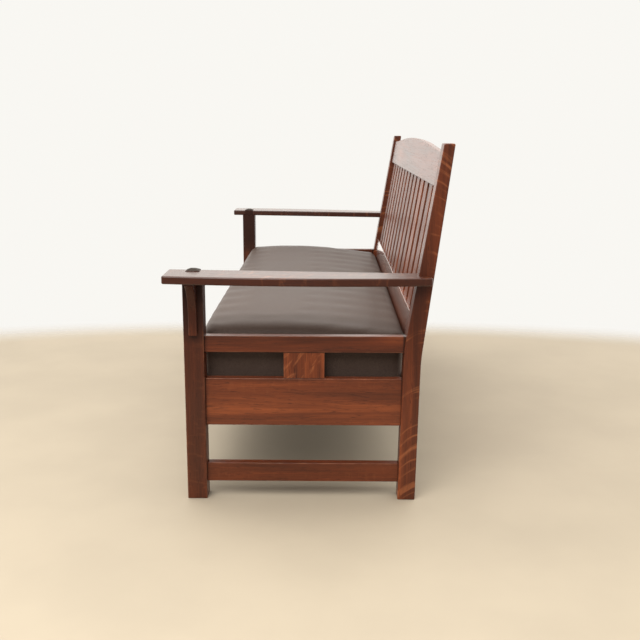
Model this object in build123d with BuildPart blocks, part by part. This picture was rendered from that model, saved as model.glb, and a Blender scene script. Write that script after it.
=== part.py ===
from build123d import *
from math import atan, cos, degrees, radians, sin, tan
import os

# Mission settle, in millimetres. Z is up, the front faces -Y and +X is the right-hand end
# seen from the front. The origin is on the floor, under the middle of the whole settle.

os.makedirs("parts", exist_ok=True)

# Posts
post_span = 1772.0
post_width = 54.0
front_post_depth = 54.0
post_height = 967.0
post_ease = 3.0

# Rear posts: a nearly upright leg below the bend, a raked and tapering post above it
leg_reach = 579.0
leg_depth = 48.0
leg_lean = 9.0
bend_height = 424.0
bend_depth = 46.0
back_bend_drop = 26.0
bend_radius = 480.0
rake = 9.35
post_top_depth = 29.0
post_top_round = 4.0

# Arms
arm_height = 635.0
arm_thickness = 21.0
arm_fall = 0.7
arm_front_overhang = 41.0
arm_outer_front = 70.0
arm_outer_middle = 77.0
arm_outer_rear = 34.0
arm_middle_share = 0.32
arm_inner_cover = 45.0
arm_rear_margin = 9.0
arm_corner_radius = 5.0
arm_ease = 4.0
arm_lower_ease = 2.5

# Tenon of the front post through the arm, with a low hipped head
tenon_head_width = 36.0
head_stand = 1.5
head_rise = 5.0
head_flat_width = 12.0

# Corbels under the arms
corbel_thickness = 22.0
corbel_height = 147.0
corbel_foot_projection = 13.0
corbel_straight_share = 0.39
corbel_top_projection = 66.0
corbel_top_land = 5.0
corbel_ease = 1.2
corbel_tongue_thickness = 8.0
corbel_tongue_depth = 9.0
corbel_tongue_inset = 18.0

# Rails
rail_thickness = 26.0
rail_recess = 14.5
rail_ease = 1.5
upper_rail_bottom = 415.0
upper_rail_height = 45.0
lower_rail_bottom = 210.0
lower_rail_height = 132.0
stretcher_bottom = 47.0
stretcher_height = 53.0
back_seat_rail_recess = 8.0
back_seat_rail_thickness = 24.0

# Block between the two side rails
block_width = 110.0
block_tongue_thickness = 10.0
block_tongue_height = 8.0
block_tongue_inset = 10.0

# Mortise and tenon joints
tenon_thickness = 10.0
tenon_length = 19.0
tenon_inset = 8.0
joint_fit = 0.15
tenon_end_gap = 0.5

# Raked back: lengths up the slope start at the bend of the posts
back_rail_recess = 8.0
back_rail_thickness = 20.0
low_back_rail_up = 10.0
low_back_rail_height = 79.0
crest_up = 436.0
crest_end_height = 91.0
crest_rise = 27.0
crest_turn_share = 0.62
crest_end_slope_share = 0.35
crest_tenon_top_inset = 22.0
slat_count = 14
slat_width = 74.0
slat_thickness = 8.0
slat_setback = 9.0
slat_stub = 8.0
slat_ease = 1.0

# Cleats and bearer that carry the drop-in seat
cleat_width = 32.0
cleat_height = 24.0
cleat_end_gap = 3.0
bearer_width = 40.0
bearer_height = 60.0
bearer_stub = 8.0

# Dowels that hold the arms to the rear posts
dowel_radius = 6.0
dowel_length = 40.0
dowel_fit = 0.1

# Drop-in seat: a frame, webbing and foam under leather
seat_bottom = 300.0
seat_rest_gap = 0.2
seat_front_gap = 1.5
seat_back_gap = 2.5
seat_end_gap = 3.0
seat_front_rise = 177.0
seat_crown_rise = 195.0
seat_rear_rise = 156.0
seat_crown_share = 0.37
seat_front_roll = 32.0
seat_crown_round_share = 0.9
seat_rear_roll = 36.0
seat_end_roll = 38.0
seat_corner_roll = 22.0
seat_end_drop = 3.0
seat_level_share = 0.8
leather_thickness = 2.0
leather_turn_under = 40.0
dust_cover_thickness = 0.8
dust_cover_inset = 10.0
seat_frame_width = 62.0
seat_frame_height = 40.0
seat_frame_fit = 0.4
seat_brace_share = 0.34
webbing_width = 50.0
webbing_thickness = 1.5
cross_web_count = 12
long_web_count = 4
foam_fit = 0.2

overrun = 5.0

# Places that the pieces share
half_span = post_span / 2
inner_half = half_span - post_width
rear_bend_y = leg_reach + leg_lean
rear_top_y = rear_bend_y + (post_height - bend_height) * tan(radians(rake))
overall_depth = arm_front_overhang + rear_top_y + post_top_depth
front_y = arm_front_overhang - overall_depth / 2
front_post_back_y = front_y + front_post_depth
front_post_middle_y = front_y + front_post_depth / 2
post_middle_x = half_span - post_width / 2
rail_inner_x = half_span - rail_recess - rail_thickness
tenon_x = rail_inner_x + rail_thickness / 2
front_rail_back_y = front_y + rail_recess + rail_thickness
front_tenon_y = front_y + rail_recess + rail_thickness / 2
side_rails = [
    (upper_rail_bottom, upper_rail_height),
    (lower_rail_bottom, lower_rail_height),
    (stretcher_bottom, stretcher_height),
]

arm_front_y = front_y - arm_front_overhang
fall = radians(arm_fall)
arm_top = Plane(origin=(0, arm_front_y, arm_height), x_dir=(1, 0, 0), z_dir=(0, sin(fall), cos(fall)))
arm_underside = arm_top.offset(-arm_thickness)

back_face = Plane(
    origin=(0, front_y + rear_bend_y, bend_height),
    x_dir=(1, 0, 0),
    z_dir=(0, -cos(radians(rake)), sin(radians(rake))),
)
back_rail_face = back_face.offset(-back_rail_recess)
slat_face = back_rail_face.offset(-slat_setback)
back_tenon_face = back_rail_face.offset(-(back_rail_thickness - tenon_thickness) / 2)


def arm_top_at(y):
    """Height of the arm's top face at a place along its length."""
    return arm_height - (y - arm_front_y) * tan(fall)


def leg_front_at(z):
    """Front face of the rear leg at a height below the bend."""
    return front_y + leg_reach + leg_lean * z / bend_height


def save(block, name):
    """Labels a finished piece and writes it."""
    block.part.label = name
    export_step(block.part, f"parts/{name}.step")


def save_pair(block, name):
    """Writes a right-hand piece and its mirror image at the left-hand end."""
    save(block, name + "_right")
    with BuildPart() as twin:
        mirror(block.part, about=Plane.YZ)
    save(twin, name + "_left")


def bar(x, y, z):
    """A square-edged bar between two places along each axis, given as (low, high) pairs."""
    with BuildPart() as block:
        with BuildSketch(Plane.XY.offset(z[0])):
            with Locations(((x[0] + x[1]) / 2, (y[0] + y[1]) / 2)):
                Rectangle(x[1] - x[0], y[1] - y[0])
        extrude(amount=z[1] - z[0])
    return block.part


def around(middle, size):
    """The (low, high) pair of a size about its middle."""
    return (middle - size / 2, middle + size / 2)


def rear_leg_blank():
    """The bent and tapering rear post at the right-hand end, before its joints are cut."""
    bend_y = front_y + rear_bend_y
    top_y = front_y + rear_top_y
    with BuildPart() as blank:
        with BuildSketch(Plane.YZ.offset(inner_half)) as outline:
            with BuildLine():
                Polyline(
                    (front_y + leg_reach, 0),
                    (bend_y, bend_height),
                    (top_y, post_height),
                    (top_y + post_top_depth, post_height),
                    (bend_y + bend_depth, bend_height - back_bend_drop),
                    (front_y + leg_reach + leg_depth, 0),
                    close=True,
                )
            make_face()
            corners = outline.vertices().sort_by(Axis.Y)
            fillet(corners[2:4], bend_radius)
            fillet(outline.vertices().sort_by(Axis.Y)[-2:], post_top_round)
        extrude(amount=post_width)
    return blank.part


rear_leg = rear_leg_blank()


def ease_post(post):
    """Rounds the long arrises of a post and the edge of its foot, in the part being built."""
    cheeks = post.faces().filter_by(Axis.X)
    foot = post.faces().sort_by(Axis.Z)[0]
    foot_sides = [edge for edge in foot.edges() if abs(edge.tangent_at(0).X) > abs(edge.tangent_at(0).Y)]
    fillet(cheeks.edges() + foot_sides, post_ease)


def side_rail(bottom, height):
    """A rail between the posts at the right-hand end, shouldered to them, tenoned at each end."""
    shoulder_z = bottom + height / 2
    rear_y = leg_front_at(min(shoulder_z, bend_height))
    run = (front_post_back_y, rear_y + leg_depth / 2)
    with BuildPart() as rail:
        with BuildSketch(Plane.YZ.offset(rail_inner_x)):
            with Locations((sum(run) / 2, shoulder_z)):
                Rectangle(run[1] - run[0], height)
        extrude(amount=rail_thickness)
        add(rear_leg, mode=Mode.SUBTRACT)
        long_edges = rail.edges().filter_by(Axis.Y)
        fillet(long_edges, rail_ease)
        tenon_run = (front_post_back_y - tenon_length, rear_y + tenon_length)
        with BuildSketch(Plane.YZ.offset(tenon_x - tenon_thickness / 2)):
            with Locations((sum(tenon_run) / 2, shoulder_z)):
                Rectangle(tenon_run[1] - tenon_run[0], height - 2 * tenon_inset)
        extrude(amount=tenon_thickness)
    return rail


def side_mortise(y, bottom, height):
    """The mortise for a side rail's tenon, cut into the front or the rear post."""
    return bar(
        around(tenon_x, tenon_thickness + 2 * joint_fit),
        y,
        (bottom + tenon_inset - joint_fit, bottom + height - tenon_inset + joint_fit),
    )


def long_rail_mortise(tenon_middle_y):
    """The mortise for the front or back seat rail, cut into a post's inner face."""
    return bar(
        (inner_half - overrun, inner_half + tenon_length + tenon_end_gap),
        around(tenon_middle_y, tenon_thickness + 2 * joint_fit),
        (
            lower_rail_bottom + tenon_inset - joint_fit,
            lower_rail_bottom + lower_rail_height - tenon_inset + joint_fit,
        ),
    )


# Front posts
tenon_foot = arm_height - arm_thickness - post_width
head_base = arm_top_at(front_post_middle_y) + head_stand
head_taper = degrees(atan((tenon_head_width - head_flat_width) / 2 / head_rise))
corbel_top_z = arm_top_at(front_post_middle_y) - arm_thickness
corbel_foot_z = corbel_top_z - corbel_height
tongue_run = (corbel_foot_z + corbel_tongue_inset, corbel_top_z - corbel_tongue_inset)
with BuildPart() as front_post:
    with BuildSketch(Plane.XY):
        with Locations((post_middle_x, front_post_middle_y)):
            Rectangle(post_width, front_post_depth)
    extrude(amount=arm_height)
    ease_post(front_post)
    split(bisect_by=arm_underside, keep=Keep.BOTTOM)
    with BuildSketch(Plane.XY.offset(tenon_foot)):
        with Locations((post_middle_x, front_post_middle_y)):
            Rectangle(tenon_head_width, tenon_head_width)
    extrude(amount=head_base - tenon_foot)
    with BuildSketch(Plane.XY.offset(head_base)):
        with Locations((post_middle_x, front_post_middle_y)):
            Rectangle(tenon_head_width, tenon_head_width)
    extrude(amount=head_rise, taper=head_taper)
    for rail_bottom, rail_height in side_rails:
        pocket_start = front_post_back_y - tenon_length - tenon_end_gap
        pocket = side_mortise((pocket_start, front_post_back_y + overrun), rail_bottom, rail_height)
        add(pocket, mode=Mode.SUBTRACT)
    add(long_rail_mortise(front_tenon_y), mode=Mode.SUBTRACT)
    corbel_groove = bar(
        (half_span - corbel_tongue_depth - tenon_end_gap, half_span + overrun),
        around(front_post_middle_y, corbel_tongue_thickness + 2 * joint_fit),
        (tongue_run[0] - joint_fit, tongue_run[1] + joint_fit),
    )
    add(corbel_groove, mode=Mode.SUBTRACT)
save_pair(front_post, "front_post")

# Rear posts
back_seat_rail_y = leg_front_at(lower_rail_bottom + lower_rail_height) + back_seat_rail_recess
back_tenon_y = back_seat_rail_y + back_seat_rail_thickness / 2
dowel_z = arm_top_at(front_y + rear_bend_y) - arm_thickness / 2
dowel_face_y = front_y + rear_bend_y + (dowel_z - bend_height) * tan(radians(rake))
dowel_place = Plane(origin=(half_span - arm_inner_cover / 2, dowel_face_y, dowel_z), z_dir=(0, -1, 0))


def back_rail_mortise(up, height):
    """The mortise for a tenon of the raked back's rails, cut into a post's inner face."""
    with BuildPart() as pocket:
        with BuildSketch(back_tenon_face.offset(joint_fit)):
            with Locations((inner_half + tenon_length / 2, up + height / 2)):
                Rectangle(tenon_length + 2 * tenon_end_gap, height + 2 * joint_fit)
        extrude(amount=-tenon_thickness - 2 * joint_fit)
        with BuildSketch(back_tenon_face.offset(joint_fit)):
            with Locations((inner_half - overrun / 2, up + height / 2)):
                Rectangle(overrun + 2 * tenon_end_gap, height + 2 * joint_fit)
        extrude(amount=-tenon_thickness - 2 * joint_fit)
    return pocket.part


low_tenon = (low_back_rail_up + tenon_inset, low_back_rail_height - 2 * tenon_inset)
crest_tenon = (crest_up + tenon_inset, crest_end_height - tenon_inset - crest_tenon_top_inset)

with BuildPart() as back_post:
    add(rear_leg)
    ease_post(back_post)
    for rail_bottom, rail_height in side_rails:
        rail_middle = rail_bottom + rail_height / 2
        front = leg_front_at(min(rail_middle, bend_height))
        pocket_run = (front - leg_lean, front + tenon_length + tenon_end_gap)
        add(side_mortise(pocket_run, rail_bottom, rail_height), mode=Mode.SUBTRACT)
    add(long_rail_mortise(back_tenon_y), mode=Mode.SUBTRACT)
    add(back_rail_mortise(*low_tenon), mode=Mode.SUBTRACT)
    add(back_rail_mortise(*crest_tenon), mode=Mode.SUBTRACT)
    with Locations(dowel_place):
        Cylinder(dowel_radius + dowel_fit, dowel_length, mode=Mode.SUBTRACT)
save_pair(back_post, "back_post")

# Arms: bowed outside, narrower at the back, notched round the rear post
arm_rear_y = (
    front_y + rear_bend_y + bend_depth
    + (arm_height - bend_height + back_bend_drop)
    * (rear_top_y + post_top_depth - rear_bend_y - bend_depth)
    / (post_height - bend_height + back_bend_drop)
    - arm_rear_margin
)
arm_length = (arm_rear_y - arm_front_y) / cos(fall)
with BuildPart() as arm:
    with BuildSketch(arm_top) as plan:
        inner_x = half_span - arm_inner_cover
        with BuildLine():
            ThreePointArc(
                (half_span + arm_outer_front, 0),
                (half_span + arm_outer_middle, arm_length * arm_middle_share),
                (half_span + arm_outer_rear, arm_length),
            )
            Polyline(
                (half_span + arm_outer_rear, arm_length),
                (inner_x, arm_length),
                (inner_x, 0),
                (half_span + arm_outer_front, 0),
            )
        make_face()
        fillet(plan.vertices(), arm_corner_radius)
    extrude(amount=-arm_thickness)
    fillet(arm.faces().sort_by(Axis.Z)[-1].edges(), arm_ease)
    chamfer(arm.faces().sort_by(Axis.Z)[0].edges(), arm_lower_ease)
    with BuildSketch(Plane.XY.offset(arm_height - 2 * arm_thickness - arm_length * tan(fall))):
        with Locations((post_middle_x, front_post_middle_y)):
            Rectangle(tenon_head_width + 2 * joint_fit, tenon_head_width + 2 * joint_fit)
    extrude(amount=3 * arm_thickness + arm_length * tan(fall), mode=Mode.SUBTRACT)
    add(rear_leg, mode=Mode.SUBTRACT)
    behind_leg = (dowel_face_y + post_top_depth / 2, arm_rear_y + overrun)
    add(
        bar((inner_x - overrun, half_span), behind_leg, around(dowel_z, 2 * arm_thickness)),
        mode=Mode.SUBTRACT,
    )
    with Locations(dowel_place):
        Cylinder(dowel_radius + dowel_fit, dowel_length, mode=Mode.SUBTRACT)
save_pair(arm, "arm")

with BuildPart() as arm_dowels:
    with Locations(dowel_place):
        Cylinder(dowel_radius, dowel_length - 2 * tenon_end_gap)
    mirror(about=Plane.YZ)
save(arm_dowels, "arm_dowels")

# Corbels: straight below, a hollow curve out to the arm above
corbel_curve_z = corbel_foot_z + corbel_height * corbel_straight_share
with BuildPart() as corbel:
    with BuildSketch(Plane.XZ.offset(-front_post_middle_y - corbel_thickness / 2)):
        foot_x = half_span + corbel_foot_projection
        nose_x = half_span + corbel_top_projection
        with BuildLine():
            Line((half_span, corbel_foot_z), (foot_x, corbel_foot_z))
            Line((foot_x, corbel_foot_z), (foot_x, corbel_curve_z))
            TangentArc((foot_x, corbel_curve_z), (nose_x, corbel_top_z - corbel_top_land), tangent=(0, 1))
            Polyline(
                (nose_x, corbel_top_z - corbel_top_land),
                (nose_x, corbel_top_z + overrun),
                (half_span, corbel_top_z + overrun),
                (half_span, corbel_foot_z),
            )
        make_face()
    extrude(amount=corbel_thickness)
    split(bisect_by=arm_underside, keep=Keep.BOTTOM)
    cheeks = corbel.faces().filter_by(Axis.Y)
    outer = [edge for edge in cheeks.edges() if edge.center().X > half_span + corbel_ease]
    shaped = [edge for edge in outer if edge.center().Z < corbel_top_z - corbel_ease]
    chamfer(shaped, corbel_ease)
    tongue_x = (half_span - corbel_tongue_depth, half_span)
    add(bar(tongue_x, around(front_post_middle_y, corbel_tongue_thickness), tongue_run))
save_pair(corbel, "corbel")

# Places of the cleats and the bearer, from the rails that carry them
bearer_z = (seat_bottom - bearer_height, seat_bottom)
cleat_z = (seat_bottom - cleat_height, seat_bottom)
side_cleat_x = rail_inner_x - cleat_width
long_cleat_x = (bearer_width / 2 + cleat_end_gap, side_cleat_x - cleat_end_gap)
side_cleat_y = (front_post_back_y + cleat_end_gap, leg_front_at(seat_bottom) - cleat_end_gap)
front_cleat_back = front_rail_back_y + cleat_width
back_cleat_front = back_seat_rail_y - cleat_width

# Rails and stretchers at the ends, and the block between the two rails
block_middle_y = (front_post_back_y + leg_front_at(upper_rail_bottom)) / 2
tongue_width = block_width - 2 * block_tongue_inset
block_bottom = lower_rail_bottom + lower_rail_height
block_height = upper_rail_bottom - block_bottom


def tongue_slot(bottom, top):
    """The slot for a tongue of the block, cut into a side rail's edge."""
    return bar(
        around(tenon_x, block_tongue_thickness + 2 * joint_fit),
        around(block_middle_y, tongue_width + 2 * joint_fit),
        (bottom, top),
    )


with BuildPart() as upper_side_rail:
    add(side_rail(upper_rail_bottom, upper_rail_height).part)
    slot_top = upper_rail_bottom + block_tongue_height + tenon_end_gap
    add(tongue_slot(upper_rail_bottom - overrun, slot_top), mode=Mode.SUBTRACT)
save_pair(upper_side_rail, "upper_side_rail")

with BuildPart() as lower_side_rail:
    add(side_rail(lower_rail_bottom, lower_rail_height).part)
    slot_bottom = block_bottom - block_tongue_height - tenon_end_gap
    add(tongue_slot(slot_bottom, block_bottom + overrun), mode=Mode.SUBTRACT)
save_pair(lower_side_rail, "lower_side_rail")

side_stretcher = side_rail(stretcher_bottom, stretcher_height)
save_pair(side_stretcher, "side_stretcher")

with BuildPart() as side_block:
    block_x = (rail_inner_x, rail_inner_x + rail_thickness)
    add(bar(block_x, around(block_middle_y, block_width), (block_bottom, upper_rail_bottom)))
    fillet(side_block.edges().filter_by(Axis.Z), rail_ease)
    tongue_z = around(block_bottom + block_height / 2, block_height + 2 * block_tongue_height)
    add(bar(around(tenon_x, block_tongue_thickness), around(block_middle_y, tongue_width), tongue_z))
save_pair(side_block, "side_block")

# Front and back seat rails
def seat_rail(y, tenon_middle_y, inner_y):
    """A long rail under the seat, tenoned into the posts, with a mortise for the bearer."""
    rail_z = (lower_rail_bottom, lower_rail_bottom + lower_rail_height)
    toward_seat = 1 if inner_y > tenon_middle_y else -1
    slot_depth = bearer_stub + tenon_end_gap
    slot_y = sorted((inner_y + toward_seat * overrun, inner_y - toward_seat * slot_depth))
    with BuildPart() as rail:
        add(bar((-inner_half, inner_half), y, rail_z))
        fillet(rail.edges().filter_by(Axis.X), rail_ease)
        add(bar(
            (-inner_half - tenon_length, inner_half + tenon_length),
            around(tenon_middle_y, tenon_thickness),
            (rail_z[0] + tenon_inset, rail_z[1] - tenon_inset),
        ))
        add(
            bar(
                around(0, bearer_width - 2 * tenon_inset + 2 * joint_fit),
                slot_y,
                (bearer_z[0] + tenon_inset - joint_fit, bearer_z[1] - tenon_inset + joint_fit),
            ),
            mode=Mode.SUBTRACT,
        )
    return rail


front_rail_run = (front_y + rail_recess, front_rail_back_y)
front_seat_rail = seat_rail(front_rail_run, front_tenon_y, front_rail_back_y)
save(front_seat_rail, "front_seat_rail")
back_rail_run = (back_seat_rail_y, back_seat_rail_y + back_seat_rail_thickness)
back_seat_rail = seat_rail(back_rail_run, back_tenon_y, back_seat_rail_y)
save(back_seat_rail, "back_seat_rail")

# Raked back: crest rail, lower rail and slats
clear_width = 2 * inner_half
slat_gap = (clear_width - slat_count * slat_width) / (slat_count + 1)
slat_pitch = slat_width + slat_gap
slat_places = [-inner_half + slat_gap + slat_width / 2 + i * slat_pitch for i in range(slat_count)]


def slat_mortises(edge_up, outward):
    """The row of slat mortises in a rail's edge, cut away from that edge."""
    depth = slat_stub + tenon_end_gap
    with BuildPart() as pockets:
        with BuildSketch(slat_face.offset(joint_fit)):
            for x in slat_places:
                with Locations((x, edge_up + outward * (depth - overrun) / 2)):
                    Rectangle(slat_width + 2 * joint_fit, depth + overrun)
        extrude(amount=-slat_thickness - 2 * joint_fit)
    return pockets.part


def back_tenons(up, height):
    """The pair of tenons at the ends of a rail of the back."""
    with BuildPart() as tenons:
        with BuildSketch(back_tenon_face):
            for side in (-1, 1):
                with Locations((side * inner_half, up + height / 2)):
                    Rectangle(2 * tenon_length, height)
        extrude(amount=-tenon_thickness)
    return tenons.part


turn_x = inner_half * crest_turn_share
end_run = inner_half - turn_x
crest_slope = crest_rise / (turn_x / 2 + end_run * (1 + crest_end_slope_share) / 2)
crest_peak = crest_up + crest_end_height + crest_rise
turn_up = crest_peak - crest_slope * turn_x / 2
with BuildPart() as crest_rail:
    with BuildSketch(back_rail_face):
        with BuildLine():
            ThreePointArc((-turn_x, turn_up), (0, crest_peak), (turn_x, turn_up))
            TangentArc(
                (turn_x, turn_up),
                (inner_half, crest_up + crest_end_height),
                tangent=(1, -crest_slope),
            )
            Polyline(
                (inner_half, crest_up + crest_end_height),
                (inner_half, crest_up),
                (-inner_half, crest_up),
                (-inner_half, crest_up + crest_end_height),
            )
            TangentArc(
                (-turn_x, turn_up),
                (-inner_half, crest_up + crest_end_height),
                tangent=(-1, -crest_slope),
            )
        make_face()
    extrude(amount=-back_rail_thickness)
    long_edges = [edge for edge in crest_rail.edges() if edge.length > 2 * back_rail_thickness]
    long_edges = [edge for edge in long_edges if abs(edge.center().X) < inner_half - rail_ease]
    chamfer(long_edges, rail_ease)
    add(back_tenons(*crest_tenon))
    add(slat_mortises(crest_up, 1), mode=Mode.SUBTRACT)
save(crest_rail, "crest_rail")

low_back_rail_top = low_back_rail_up + low_back_rail_height
with BuildPart() as lower_back_rail:
    with BuildSketch(back_rail_face):
        with Locations((0, low_back_rail_up + low_back_rail_height / 2)):
            Rectangle(clear_width, low_back_rail_height)
    extrude(amount=-back_rail_thickness)
    fillet(lower_back_rail.edges().filter_by(Axis.X), rail_ease)
    add(back_tenons(*low_tenon))
    add(slat_mortises(low_back_rail_top, -1), mode=Mode.SUBTRACT)
save(lower_back_rail, "lower_back_rail")

for number, x in enumerate(slat_places, start=1):
    with BuildPart() as back_slat:
        with BuildSketch(slat_face):
            with Locations((x, (low_back_rail_top + crest_up) / 2)):
                Rectangle(slat_width, crest_up - low_back_rail_top + 2 * slat_stub)
        extrude(amount=-slat_thickness)
        upright = [edge for edge in back_slat.edges() if edge.length > slat_width + slat_stub]
        chamfer(upright, slat_ease)
    save(back_slat, f"back_slat_{number:02d}")

# Bearer across the middle and cleats round the inside of the rails
stub_y = (front_rail_back_y - bearer_stub, back_seat_rail_y + bearer_stub)
with BuildPart() as seat_bearer:
    add(bar(around(0, bearer_width), (front_rail_back_y, back_seat_rail_y), bearer_z))
    add(bar(
        around(0, bearer_width - 2 * tenon_inset),
        stub_y,
        (bearer_z[0] + tenon_inset, bearer_z[1] - tenon_inset),
    ))
save(seat_bearer, "seat_bearer")

with BuildPart() as seat_cleat_front:
    add(bar(long_cleat_x, (front_rail_back_y, front_cleat_back), cleat_z))
save_pair(seat_cleat_front, "seat_cleat_front")

with BuildPart() as seat_cleat_back:
    add(bar(long_cleat_x, (back_cleat_front, back_seat_rail_y), cleat_z))
save_pair(seat_cleat_back, "seat_cleat_back")

with BuildPart() as seat_cleat_side:
    add(bar((side_cleat_x, rail_inner_x), side_cleat_y, cleat_z))
save_pair(seat_cleat_side, "seat_cleat_side")

# Drop-in seat, built up from its underside
seat_front_y = front_rail_back_y + seat_front_gap
seat_back_y = back_seat_rail_y - seat_back_gap
seat_depth = seat_back_y - seat_front_y
seat_half = inner_half - seat_end_gap
dust_cover_z = (seat_bottom + seat_rest_gap, seat_bottom + seat_rest_gap + dust_cover_thickness)
leather_base = dust_cover_z[1]
frame_base = leather_base + leather_thickness
frame_top = frame_base + seat_frame_height
foam_base = frame_top + 2 * webbing_thickness + foam_fit
roll_steps = 4


def seat_stations(skin):
    """Slices from the left end to the right: place, pull from the sides, drop and roundness."""
    reach = seat_half - skin
    roll = seat_end_roll - skin
    corner = seat_corner_roll - skin
    right = [(seat_half * seat_level_share - seat_end_roll, 0, 0, 1)]
    for step in range(roll_steps + 1):
        turn = radians(90 * step / roll_steps)
        fade = 1 - cos(turn)
        round_left = 1 - fade * corner / (seat_front_roll - skin)
        place = reach - roll + roll * sin(turn)
        right.append((place, corner * fade, seat_end_drop + roll * fade, round_left))
    left = [(-x, pull, drop, round_left) for x, pull, drop, round_left in reversed(right)]
    return left + [(0, 0, 0, 1)] + right


def seat_form(skin, base):
    """The crowned block of the seat, taken in by a skin's thickness, on a flat base."""
    crown_y = seat_front_y + seat_depth * seat_crown_share
    with BuildPart() as form:
        for x, pull, drop, round_left in seat_stations(skin):
            front, back = seat_front_y + skin + pull, seat_back_y - skin - pull
            front_z = seat_bottom + seat_front_rise - skin - drop
            crown_z = seat_bottom + seat_crown_rise - skin - drop
            rear_z = seat_bottom + seat_rear_rise - skin - drop
            front_roll = (seat_front_roll - skin) * round_left
            rear_roll = (seat_rear_roll - skin) * round_left
            climb = atan((crown_z - front_z) / (crown_y - front))
            descent = atan((crown_z - rear_z) / (back - crown_y))
            climb_run = (crown_y - front) / cos(climb) - front_roll * tan((radians(90) - climb) / 2)
            crown_roll = seat_crown_round_share * climb_run / tan((climb + descent) / 2)
            with BuildSketch(Plane.YZ.offset(x)):
                with BuildLine():
                    FilletPolyline(
                        (front, base),
                        (front, front_z),
                        (crown_y, crown_z),
                        (back, rear_z),
                        (back, base),
                        radius=[front_roll, crown_roll, rear_roll],
                    )
                    Line((back, base), (front, base))
                make_face()
        loft(ruled=True)
    return form.part


with BuildPart() as seat_leather:
    add(seat_form(0, leather_base))
    add(seat_form(leather_thickness, frame_base), mode=Mode.SUBTRACT)
    opening_x = seat_half - leather_turn_under
    opening_y = (seat_front_y + leather_turn_under, seat_back_y - leather_turn_under)
    opening_z = (leather_base - overrun, frame_base + overrun)
    add(bar((-opening_x, opening_x), opening_y, opening_z), mode=Mode.SUBTRACT)
save(seat_leather, "seat_leather")

with BuildPart() as seat_foam:
    add(seat_form(leather_thickness + foam_fit, foam_base))
save(seat_foam, "seat_foam")

with BuildPart() as seat_dust_cover:
    cover_x = seat_half - dust_cover_inset
    cover_y = (seat_front_y + dust_cover_inset, seat_back_y - dust_cover_inset)
    add(bar((-cover_x, cover_x), cover_y, dust_cover_z))
    fillet(seat_dust_cover.edges().filter_by(Axis.Z), seat_corner_roll - dust_cover_inset)
save(seat_dust_cover, "seat_dust_cover")

# The seat's frame: long members at the front and back, ends and braces between them
frame_skin = leather_thickness + seat_frame_fit
frame_form = seat_form(frame_skin, frame_base)
frame_half = seat_half - frame_skin
frame_front = (seat_front_y + frame_skin, seat_front_y + frame_skin + seat_frame_width)
frame_back = (seat_back_y - frame_skin - seat_frame_width, seat_back_y - frame_skin)
frame_z = (frame_base, frame_top)


def frame_member(x, y):
    """A member of the seat's frame, rounded where it meets a corner of the leather."""
    with BuildPart() as member:
        add(bar(x, y, frame_z))
        add(frame_form, mode=Mode.INTERSECT)
    return member


seat_frame_front = frame_member((-frame_half, frame_half), frame_front)
save(seat_frame_front, "seat_frame_front")
seat_frame_back = frame_member((-frame_half, frame_half), frame_back)
save(seat_frame_back, "seat_frame_back")
between = (frame_front[1], frame_back[0])
seat_frame_end = frame_member((frame_half - seat_frame_width, frame_half), between)
save_pair(seat_frame_end, "seat_frame_end")
brace_middle = frame_half * seat_brace_share
seat_frame_brace = frame_member(around(brace_middle, seat_frame_width), between)
save_pair(seat_frame_brace, "seat_frame_brace")

# Webbing: straps across the frame, and long straps over them
web_y = (frame_front[0] + dust_cover_inset, frame_back[1] - dust_cover_inset)
web_x = (-frame_half + dust_cover_inset, frame_half - dust_cover_inset)
cross_web_z = (frame_top, frame_top + webbing_thickness)
long_web_z = (frame_top + webbing_thickness, frame_top + 2 * webbing_thickness)
cross_web_pitch = (web_x[1] - web_x[0] - webbing_width) / (cross_web_count - 1)
with BuildPart() as seat_webbing_cross:
    for i in range(cross_web_count):
        middle = web_x[0] + webbing_width / 2 + i * cross_web_pitch
        add(bar(around(middle, webbing_width), web_y, cross_web_z))
save(seat_webbing_cross, "seat_webbing_cross")

long_web_pitch = (web_y[1] - web_y[0]) / long_web_count
with BuildPart() as seat_webbing_long:
    for i in range(long_web_count):
        middle = web_y[0] + (i + 1 / 2) * long_web_pitch
        add(bar(web_x, around(middle, webbing_width), long_web_z))
save(seat_webbing_long, "seat_webbing_long")
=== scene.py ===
"""A mission settle in fumed oak with a leather drop-in seat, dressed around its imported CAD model.

Lengths are in metres, in the model's own frame: X along the settle, -Y to the front, Z up.
"""

import math

import bmesh
import bpy
import numpy as np
from mathutils import Matrix, Vector


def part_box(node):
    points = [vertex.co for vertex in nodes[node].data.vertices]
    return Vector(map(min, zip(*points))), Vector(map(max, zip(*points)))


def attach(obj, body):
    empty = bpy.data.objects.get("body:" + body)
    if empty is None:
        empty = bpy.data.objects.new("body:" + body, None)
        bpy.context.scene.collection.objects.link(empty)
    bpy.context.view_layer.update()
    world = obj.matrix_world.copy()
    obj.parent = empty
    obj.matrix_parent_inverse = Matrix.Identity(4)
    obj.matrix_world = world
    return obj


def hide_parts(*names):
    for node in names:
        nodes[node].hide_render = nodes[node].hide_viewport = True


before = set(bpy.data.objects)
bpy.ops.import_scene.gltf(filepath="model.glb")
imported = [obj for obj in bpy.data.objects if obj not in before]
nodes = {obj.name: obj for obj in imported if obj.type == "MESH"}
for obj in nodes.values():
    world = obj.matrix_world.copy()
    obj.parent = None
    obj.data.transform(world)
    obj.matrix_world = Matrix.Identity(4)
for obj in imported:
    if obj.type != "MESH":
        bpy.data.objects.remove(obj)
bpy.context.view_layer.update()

# The photograph's camera, fitted to measured edges of both ends and the back.
# The lens and the centred picture are assumed.
CAMERA_PLACE = Vector((3.1828, 0.0492, 1.0105))
CAMERA_PITCH = math.radians(12.345)
CAMERA_YAW = math.radians(-0.457)
CAMERA_ROLL = math.radians(-0.212)
LENS_MM = 50.0
SENSOR_MM = 36.0
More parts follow.
